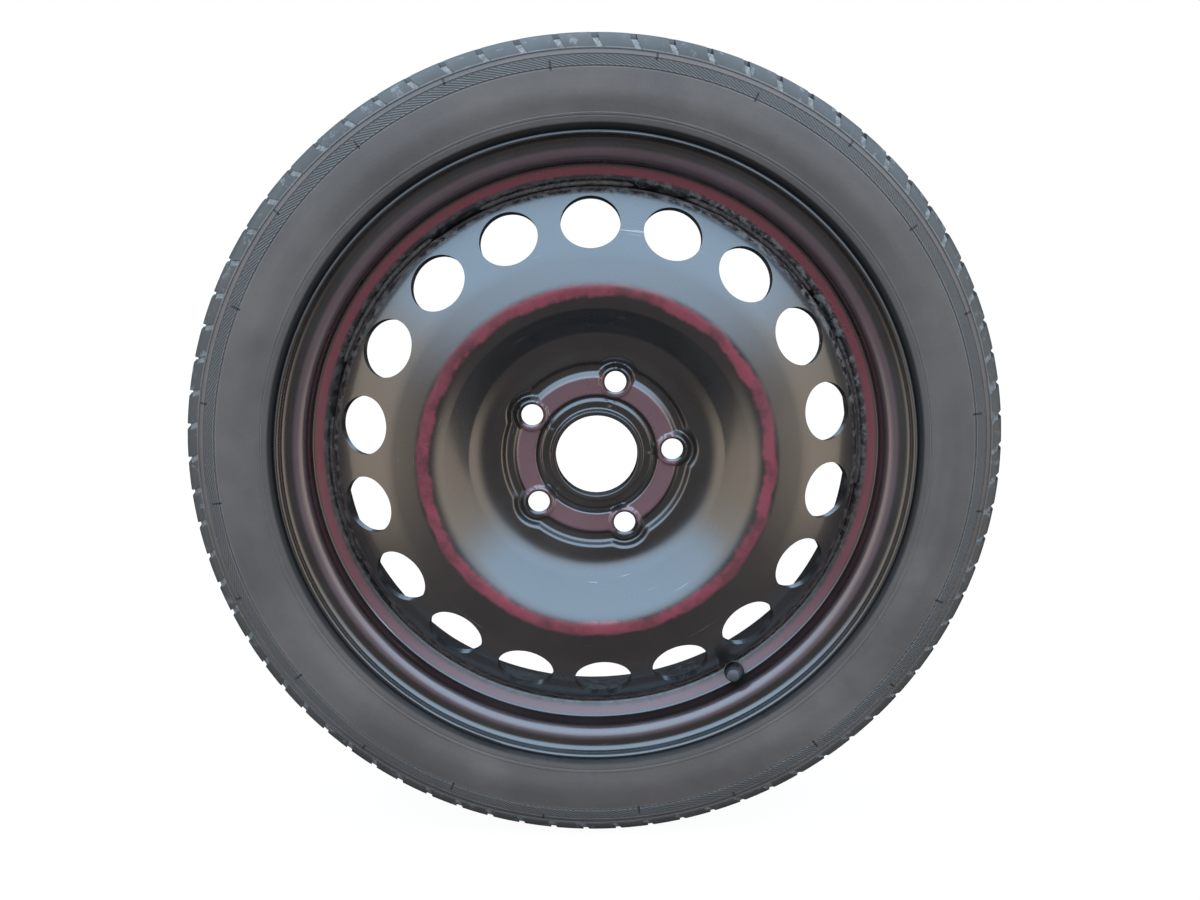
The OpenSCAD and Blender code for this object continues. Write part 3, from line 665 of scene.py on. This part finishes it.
# The hub's two faces start 100 mm to each side, which marks them for pressing to height
unpressed = 100.0
hub_start, hub_width, hub_rings = 34.2, 38, 60
collar = rounded([
    (28.3, -6.0, 0), (28.3, -11.0, 0.7), (31.5, -11.0, 0.7), (31.5, -5.2, 1.8), (33.6, -5.2, 0),
], 8)
hub_radii = [hub_start + hub_width * i / hub_rings for i in range(hub_rings + 1)]
front = collar + [Vector((r, -unpressed)) for r in hub_radii] + rounded(disc_path, 4)[1:]
back = rounded(moved(disc_path, disc_thickness), 6)
back_hub = [Vector((r, unpressed)) for r in hub_radii[::3]]
bore_back = [Vector((33.3, -1.2)), Vector((32.1, 0)), Vector((28.3, 0))]
disc_outline = front + half_round(front[-1], back[-1]) + back[:0:-1] + back_hub[::-1] + bore_back
disc_bm = bmesh.new()
spin_edges(disc_bm, ring_wire(disc_bm, disc_outline), math.tau, steps_round, True)
bmesh.ops.remove_doubles(disc_bm, verts=disc_bm.verts, dist=1e-6)
for v in disc_bm.verts:
    if abs(v.co.y) > 0.9 * unpressed / 1000:
        pressed = -hub_height(v.co.x * 1000, v.co.z * 1000)
        v.co.y = (pressed if v.co.y < 0 else pressed + disc_thickness) / 1000


def set_round(turn, circle, height, tilt):
    """Matrix at a turn and radius in the wheel and a height along the axle, its Z leaning inward."""
    return Matrix.Rotation(turn, 4, "Y") @ Matrix.Translation((0, height / 1000, circle / 1000)) \
        @ Matrix.Rotation(math.radians(tilt), 4, "X")


vent_count, first_vent, vent_radius, vent_circle = 18, -1.54, 20.0, 160.6
vent_height = vent_line + vent_circle * vent_rise
bolt_hole_radius, seat_foot_radius, seat_mouth_radius = 7.5, 7.2, 9.23
holes, seats = bmesh.new(), bmesh.new()
for i in range(vent_count):
    vent_turn = math.radians(first_vent + 360 / vent_count * i)
    placed = set_round(vent_turn, vent_circle, vent_height, 90 - vent_slope)
    plug(holes, vent_radius, -14, 14, placed, segments=96)
for bolt in bolt_turns:
    plug(holes, bolt_hole_radius, -14, 16, set_round(bolt, bolt_circle, 0, -90))
    plug(seats, seat_foot_radius, 4.9, 8.4, set_round(bolt, bolt_circle, 0, 90), seat_mouth_radius)
disc_bm = cut(disc_bm, holes)
disc_bm = cut(disc_bm, seats)
bmesh.ops.remove_doubles(disc_bm, verts=disc_bm.verts, dist=1.2e-5)
disc = into_object("pressed_disc", disc_bm, black, replaces=["disc"], crease=32)


# Welds: eight runs of filler in the groove between disc and rim, painted over, with their
# ripples and the dirt that has dried on them.
bead_radius, bead_circle, bead_place = 1.9, 184.87, 7.7
weld_count, weld_half, steps_a_weld, bead_sides = 8, 16.5, 120, 12
weld_spacing = 360 / weld_count
bead_middle = Vector((0, bead_place / 1000, bead_circle / 1000))
weld_bm = bmesh.new()
for i in range(weld_count):
    start = math.radians(valve_clock + (i + 0.5) * weld_spacing - weld_half)
    ring = bmesh.ops.create_circle(
        weld_bm, segments=bead_sides, radius=bead_radius / 1000,
        matrix=Matrix.Translation(bead_middle) @ Matrix.Rotation(math.radians(90), 4, "Y"))
    bmesh.ops.rotate(weld_bm, verts=ring["verts"], cent=(0, 0, 0), matrix=Matrix.Rotation(start, 3, "Y"))
    edges = list({e for v in ring["verts"] for e in v.link_edges})
    spin_edges(weld_bm, edges, math.radians(2 * weld_half), steps_a_weld)
bmesh.ops.holes_fill(weld_bm, edges=[e for e in weld_bm.edges if e.is_boundary], sides=bead_sides)
ripple_size, ripple_turn = 0.05, 480
lump_size, lump_scale = 0.10, 420
for v in weld_bm.verts:
    angle = math.atan2(v.co.x, v.co.z)
    run = (math.degrees(angle) - valve_clock) % weld_spacing - weld_spacing / 2
    core = Matrix.Rotation(angle, 3, "Y") @ bead_middle
    ends = math.sqrt(max(0.02, 1 - (abs(run) / weld_half) ** 24))
    ripple = ripple_size * math.sin(angle * ripple_turn)
    lumps = lump_size * noise.noise(v.co * lump_scale)
    v.co = core + (v.co - core) * ends * min(1.0, 0.93 + ripple + lumps)
slag = Finish(bpy.data.materials.new("weld_bead"))
grains = cloud(slag, object_point(slag), 260, 6, 0.75)
slag.surface({
    "Base Color": slag.blend(grains.rise(0.35, 0.65), (0.016, 0.014, 0.013, 1), (0.085, 0.062, 0.050, 1)),
    "Roughness": 0.45 + grains * 0.4, "Normal": slag.bump(0.7, 0.0006, grains)})
welds = into_object("weld_runs", weld_bm, slag, replaces=["disc_welds"])


# Valve body: rubber moulded over the brass stem, pulled through the rim's hole until its neck
# sits in it, with a shoulder outside and a bulb inside.
def turned_piece(outline, place, segments=64):
    """Turns an open outline of (radius, height), in mm, about Z and places it."""
    bm = bmesh.new()
    verts = [bm.verts.new((r / 1000, 0, z / 1000)) for r, z in outline]
    edges = [bm.edges.new(pair) for pair in zip(verts, verts[1:])]
    bmesh.ops.spin(bm, geom=edges, cent=(0, 0, 0), axis=(0, 0, 1), angle=math.tau, steps=segments,
                   use_merge=True)
    bmesh.ops.remove_doubles(bm, verts=bm.verts, dist=1e-6)
    bmesh.ops.transform(bm, matrix=place, verts=bm.verts)
    return bm


stem_hole = 3.86
body_outline = [tuple(p) for p in rounded([
    (2.15, -9.5, 0), (5.4, -9.5, 0.5), (7.2, -8, 0.8), (7.6, -5.6, 1), (5.8, -3.2, 0.3), (5.6, -3.2, 0.1),
    (5.6, 0.05, 0.1), (7.2, 0.05, 0.3), (7.2, 2.4, 0.8), (6.6, 3.4, 0.8), (6.1, 6.2, 2), (5.5, 13.5, 0.8),
    (5.0, 14.5, 0.3), (stem_hole, 14.5, 0),
])]
body_outline += [(stem_hole, 9.6), (3.11, 9.5), (3.11, -7.5), (2.15, -7.5), (2.15, -9.5)]
valve_rubber = Finish(bpy.data.materials.new("valve_rubber"))
bloom = cloud(valve_rubber, object_point(valve_rubber), 160, 5, 0.7)
bloom_colour = valve_rubber.blend(bloom.rise(0.4, 0.7), (0.018, 0.017, 0.017, 1), (0.060, 0.054, 0.050, 1))
valve_rubber.surface({
    "Base Color": bloom_colour, "Roughness": 0.42 + bloom * 0.3,
    "Normal": valve_rubber.bump(0.3, 0.0002, bloom)})
valve_body = into_object("valve_rubber_body", turned_piece(body_outline, on_valve), valve_rubber,
                         replaces=["valve_body"])


# Valve stem: turned brass inside the rubber, with the cap's thread cut on its open end.
stem_outline = [
    (2.15, -7.5), (3.6, -7.5), (3.6, -6.3), (3.1, -5.8), (3.1, 9.5), (3.5, 10.4), (3.5, 21.4), (3.0, 22.0),
    (2.65, 22.0), (2.65, 16.2), (2.15, 14.2), (2.15, -7.5),
]
stem_bm = turned_piece(stem_outline, Matrix.Identity(4))
thread_pitch, thread_turns, thread_steps = 0.794, 13, 36
ridge_outline = [(3.48, 10.8), (3.84, 11.12), (3.84, 11.22), (3.48, 11.56)]
ridge = [stem_bm.verts.new((r / 1000, 0, z / 1000)) for r, z in ridge_outline]
ridge_edges = [stem_bm.edges.new(pair) for pair in zip(ridge, ridge[1:] + ridge[:1])]
bmesh.ops.spin(stem_bm, geom=ridge_edges, cent=(0, 0, 0), axis=(0, 0, 1), angle=math.tau * thread_turns,
               steps=thread_steps * thread_turns, dvec=(0, 0, thread_pitch / thread_steps / 1000))
bmesh.ops.holes_fill(stem_bm, edges=[e for e in stem_bm.edges if e.is_boundary], sides=4)
bmesh.ops.transform(stem_bm, matrix=on_valve, verts=stem_bm.verts)
brass = Finish(bpy.data.materials.new("turned_brass"))
tarnish = cloud(brass, object_point(brass), 300, 5, 0.7)
brass.surface({
    "Base Color": brass.blend(tarnish.rise(0.4, 0.7), (0.62, 0.44, 0.20, 1), (0.34, 0.23, 0.12, 1)),
    "Metallic": 1.0, "Roughness": 0.24 + tarnish * 0.3})
stem = into_object("valve_stem_thread", stem_bm, brass, replaces=["valve_stem"])


# Valve core: turned brass plug and barrel, steel pin and spring, and rubber seals, screwed into
# the stem. They keep their own shapes and get the finish of their metals.
steel = Finish(bpy.data.materials.new("drawn_steel"))
drawn = cloud(steel, object_point(steel), 900, 3, 0.6)
steel.surface({
    "Base Color": steel.blend(drawn, (0.42, 0.42, 0.43, 1), (0.66, 0.66, 0.67, 1)),
    "Metallic": 1.0, "Roughness": 0.22 + drawn * 0.2})
red_seal = Finish(bpy.data.materials.new("red_seal"))
mould = cloud(red_seal, object_point(red_seal), 500, 3, 0.6)
red_seal.surface({
    "Base Color": red_seal.blend(mould, (0.42, 0.045, 0.03, 1), (0.60, 0.08, 0.05, 1)),
    "Roughness": 0.45 + mould * 0.2})
core_finishes = {
    "core_plug": brass, "core_barrel": brass, "core_cup": brass, "core_pin": steel,
    "barrel_seal": red_seal, "cup_seal": valve_rubber, "cap_seal": valve_rubber,
}
for node_name, finish in core_finishes.items():
    for material_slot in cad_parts[node_name].material_slots:
        material_slot.material = finish.owner


# Core spring: seven turns of steel wire between the barrel's floor and the pin's collar, made at
# rest length; the real one shortens as the pin is pressed.
wire_radius, coil_radius, coil_turns, steps_a_turn = 0.13, 0.98, 7, 24
barrel_floor, collar_at_rest, pin_stroke = 5.8, 14.0, 1.5
coil_low, coil_high = barrel_floor + wire_radius + 0.01, collar_at_rest - wire_radius - 0.01
coil_foot = Matrix.Translation((coil_radius / 1000, 0, coil_low / 1000))
spring_bm = bmesh.new()
ring = bmesh.ops.create_circle(spring_bm, segments=8, radius=wire_radius / 1000,
                               matrix=coil_foot @ Matrix.Rotation(math.radians(90), 4, "X"))
wire_edges = list({e for v in ring["verts"] for e in v.link_edges})
coil_steps = coil_turns * steps_a_turn
bmesh.ops.spin(spring_bm, geom=wire_edges, cent=(0, 0, 0), axis=(0, 0, 1), angle=math.tau * coil_turns,
               steps=coil_steps, dvec=(0, 0, (coil_high - coil_low) / coil_steps / 1000))
bmesh.ops.holes_fill(spring_bm, edges=[e for e in spring_bm.edges if e.is_boundary], sides=8)
bmesh.ops.transform(spring_bm, matrix=on_valve, verts=spring_bm.verts)
spring = into_object("core_spring_coil", spring_bm, steel, replaces=["core_spring"])
tuple(on_valve @ Vector((0, 0, barrel_floor / 1000)))
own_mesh(spring)


# Valve cap: a small plastic moulding with a domed end and grip ribs, screwed over the stem.
cap_outline = [tuple(p) for p in rounded([
    (3.93, 23.0, 0), (3.93, 14.8, 0.1), (4.6, 14.8, 0.3), (4.9, 15.1, 0.2), (4.82, 21.6, 1.2),
    (4.1, 24.1, 1.6), (0, 24.64, 0),
])]
cap_outline = [(0, 23.04), (3.93, 23.04)] + cap_outline[1:]
cap_bm = turned_piece(cap_outline, Matrix.Identity(4), 72)
rib_count, rib_place, rib_size = 18, (0.00492, 0, 0.0180), (0.0005, 0.0007, 0.0052)
rib_shape = Matrix.Translation(rib_place) @ Matrix.Diagonal((*rib_size, 1))
for i in range(rib_count):
    placed = Matrix.Rotation(math.tau * i / rib_count, 4, "Z") @ rib_shape
    rib = bmesh.ops.create_cube(cap_bm, size=1, matrix=placed)
    rib_edges = list({e for v in rib["verts"] for e in v.link_edges})
    bmesh.ops.bevel(cap_bm, geom=rib_edges, offset=0.00018, segments=2, affect="EDGES", profile=0.5,
                    material=-1)
bmesh.ops.transform(cap_bm, matrix=on_valve, verts=cap_bm.verts)
cap_plastic = Finish(bpy.data.materials.new("cap_plastic"))
handled = cloud(cap_plastic, object_point(cap_plastic), 240, 5, 0.7)
cap_plastic.surface({
    "Base Color": cap_plastic.blend(handled.rise(0.5, 0.8), (0.045, 0.045, 0.048, 1), (0.14, 0.135, 0.13, 1)),
    "Roughness": 0.20 + handled * 0.25})
cap = into_object("valve_cap_moulding", cap_bm, cap_plastic, body="cap", replaces=["valve_cap"])
